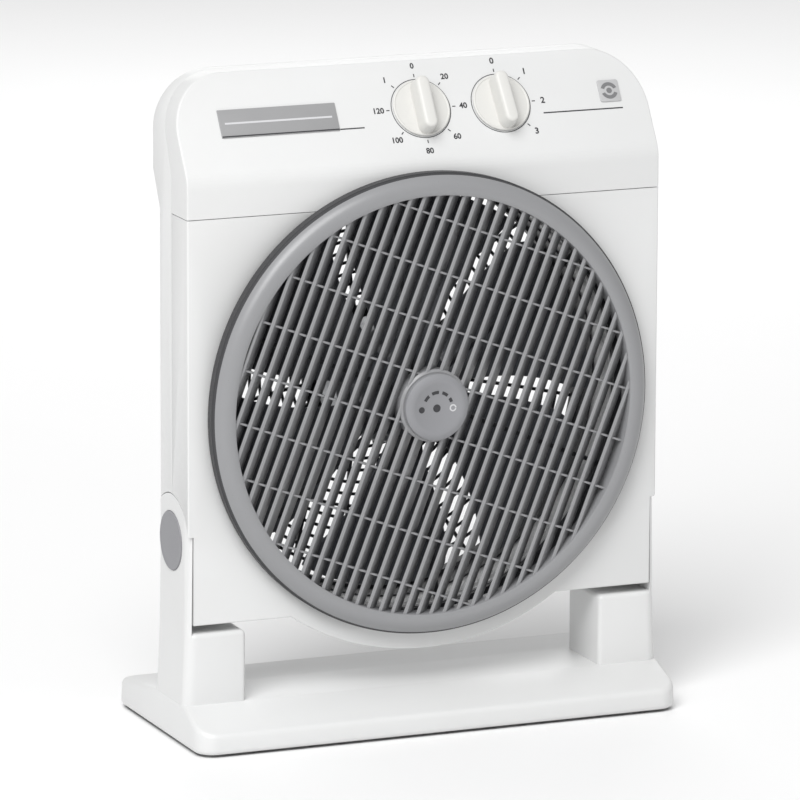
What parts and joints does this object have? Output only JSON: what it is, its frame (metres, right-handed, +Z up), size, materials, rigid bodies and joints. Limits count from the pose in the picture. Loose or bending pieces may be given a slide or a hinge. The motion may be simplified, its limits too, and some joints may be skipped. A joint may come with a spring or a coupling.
{
  "type": "box fan",
  "caption": "Upright box fan with a round revolving louvre grille, a sloping panel with two turning knobs, and a body that tilts between the arms of its stand.",
  "frame": {"origin": "middle of the stand's footprint, on the floor that it stands on", "axes": "+Z up, -Y out of the front grille, +X to the right of someone who faces the grille"},
  "size_m": [0.359, 0.17, 0.4692],
  "materials": {
    "white_housing": "satin moulded plastic",
    "cream_knob": "satin moulded plastic",
    "grey_grille": "satin grey plastic",
    "grey_cap": "satin grey plastic",
    "grey_plate": "printed plate",
    "dark_plastic": "dark grey plastic",
    "rotor_plastic": "translucent-looking grey plastic",
    "foot_rubber": "soft rubber",
    "screw_steel": "zinc plated steel",
    "zinc_shield": "cast and tumbled",
    "lamination_steel": "varnished laminations",
    "coil_copper": "varnished copper winding",
    "bearing_bronze": "sintered bronze",
    "brown_phenolic": "moulded phenolic",
    "capacitor_white": "moulded case",
    "lead_rubber": "black sheathed lead"
  },
  "bodies": {
    "stand": {"stand": "white_housing", "foot_pad_1": "foot_rubber", "foot_pad_2": "foot_rubber", "foot_pad_3": "foot_rubber", "foot_pad_4": "foot_rubber", "pivot_cap_left": "grey_cap", "pivot_cap_right": "grey_cap"},
    "tilting_body": {"front_housing": "white_housing", "control_panel": "white_housing", "rear_housing": "white_housing", "pivot_bush_left": "dark_plastic", "pivot_bush_right": "dark_plastic", "front_guard": "dark_plastic", "rear_grille": "dark_plastic", "cord_inlet_bush": "dark_plastic", "motor_front_shield": "zinc_shield", "motor_rear_shield": "zinc_shield", "bearing_front": "bearing_bronze", "bearing_rear": "bearing_bronze", "stator_core": "lamination_steel", "stator_coil_front": "coil_copper", "stator_coil_rear": "coil_copper", "timer_mechanism": "brown_phenolic", "speed_switch": "brown_phenolic", "name_plate": "grey_plate", "mark_plate": "grey_plate", "run_capacitor": "capacitor_white", "motor_lead": "lead_rubber", "housing_screw_1": "screw_steel", "housing_screw_2": "screw_steel", "housing_screw_3": "screw_steel", "housing_screw_4": "screw_steel", "head_screw_1": "screw_steel", "head_screw_2": "screw_steel", "grille_screw_1": "screw_steel", "grille_screw_2": "screw_steel", "grille_screw_3": "screw_steel", "grille_screw_4": "screw_steel", "motor_screw_1": "screw_steel", "motor_screw_2": "screw_steel", "motor_screw_3": "screw_steel", "motor_screw_4": "screw_steel", "pivot_screw_left": "screw_steel", "pivot_screw_right": "screw_steel"},
    "revolving_grille": {"louvre_grille": "grey_grille", "grille_bush": "bearing_bronze"},
    "lock_knob": {"grille_lock_knob": "grey_grille"},
    "rotor": {"rotor": "rotor_plastic", "rotor_nut": "dark_plastic", "motor_shaft": "screw_steel", "armature": "lamination_steel"},
    "timer_control": {"timer_knob": "cream_knob", "timer_spindle": "screw_steel"},
    "speed_control": {"speed_knob": "cream_knob", "speed_spindle": "screw_steel"}
  },
  "joints": [
    {"name": "body_tilt", "type": "hinge", "parent": "stand", "child": "tilting_body", "pos_m": [0, -0.016, 0.1414], "axis": [-1, 0, 0], "range_deg": [0, 20]},
    {"name": "grille_spin", "type": "hinge", "parent": "tilting_body", "child": "revolving_grille", "pos_m": [0, -0.06, 0.2334], "axis": [0, -1, 0], "continuous": true},
    {"name": "lock_knob_turn", "type": "hinge", "parent": "revolving_grille", "child": "lock_knob", "pos_m": [0, -0.07, 0.2334], "axis": [0, 1, 0], "range_deg": [0, 60]},
    {"name": "rotor_spin", "type": "hinge", "parent": "tilting_body", "child": "rotor", "pos_m": [0, 0, 0.2334], "axis": [0, 1, 0], "continuous": true},
    {"name": "timer_turn", "type": "hinge", "parent": "tilting_body", "child": "timer_control", "pos_m": [0.0052, -0.02621, 0.43787], "axis": [0, 0.848, -0.5299], "range_deg": [-45, 270]},
    {"name": "speed_turn", "type": "hinge", "parent": "tilting_body", "child": "speed_control", "pos_m": [0.066, -0.02621, 0.43787], "axis": [0, 0.848, -0.5299], "range_deg": [0, 135]}
  ]
}
